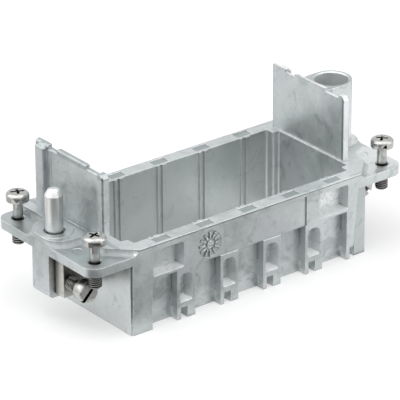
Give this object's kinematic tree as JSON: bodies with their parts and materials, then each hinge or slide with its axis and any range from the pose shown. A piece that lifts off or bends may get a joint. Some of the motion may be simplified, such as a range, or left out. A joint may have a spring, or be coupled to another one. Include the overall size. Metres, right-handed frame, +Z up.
{
  "type": "connector module frame",
  "caption": "Open die-cast frame that holds contact inserts in a rectangular connector, with captive corner screws, guide pin, guide socket and earth terminals.",
  "frame": {"origin": "centre of the body in plan, on its underside", "axes": "+X along the long side from the guide pin to the guide socket, +Z up through the flange towards the mating side, -Y towards the earth screw heads"},
  "size_m": [0.0844, 0.034, 0.0344],
  "materials": {
    "zinc_casting": "matte die-cast zinc",
    "turned_steel": "turned",
    "nickel_plate": "nickel plated",
    "plated_steel": "bright plated"
  },
  "bodies": {
    "frame": {"module_frame": "zinc_casting", "guide_pin": "turned_steel", "earth_terminal_left": "nickel_plate", "earth_terminal_right": "nickel_plate"},
    "fixing_screw_front_left": {"fixing_screw_front_left": "plated_steel"},
    "fixing_screw_back_left": {"fixing_screw_back_left": "plated_steel"},
    "fixing_screw_front_right": {"fixing_screw_front_right": "plated_steel"},
    "fixing_screw_back_right": {"fixing_screw_back_right": "plated_steel"},
    "earth_screw_left": {"earth_screw_left": "nickel_plate"},
    "earth_screw_right": {"earth_screw_right": "nickel_plate"}
  },
  "joints": [
    {"name": "fixing_screw_front_left_slide", "type": "slide", "parent": "frame", "child": "fixing_screw_front_left", "axis": [0, 0, -1], "range_m": [0, 0.0041]},
    {"name": "fixing_screw_back_left_slide", "type": "slide", "parent": "frame", "child": "fixing_screw_back_left", "axis": [0, 0, -1], "range_m": [0, 0.0041]},
    {"name": "fixing_screw_front_right_slide", "type": "slide", "parent": "frame", "child": "fixing_screw_front_right", "axis": [0, 0, -1], "range_m": [0, 0.0041]},
    {"name": "fixing_screw_back_right_slide", "type": "slide", "parent": "frame", "child": "fixing_screw_back_right", "axis": [0, 0, -1], "range_m": [0, 0.0041]},
    {"name": "earth_screw_left_slide", "type": "slide", "parent": "frame", "child": "earth_screw_left", "axis": [0, 1, 0], "range_m": [0, 0.00395]},
    {"name": "earth_screw_right_slide", "type": "slide", "parent": "frame", "child": "earth_screw_right", "axis": [0, -1, 0], "range_m": [0, 0.00395]}
  ]
}
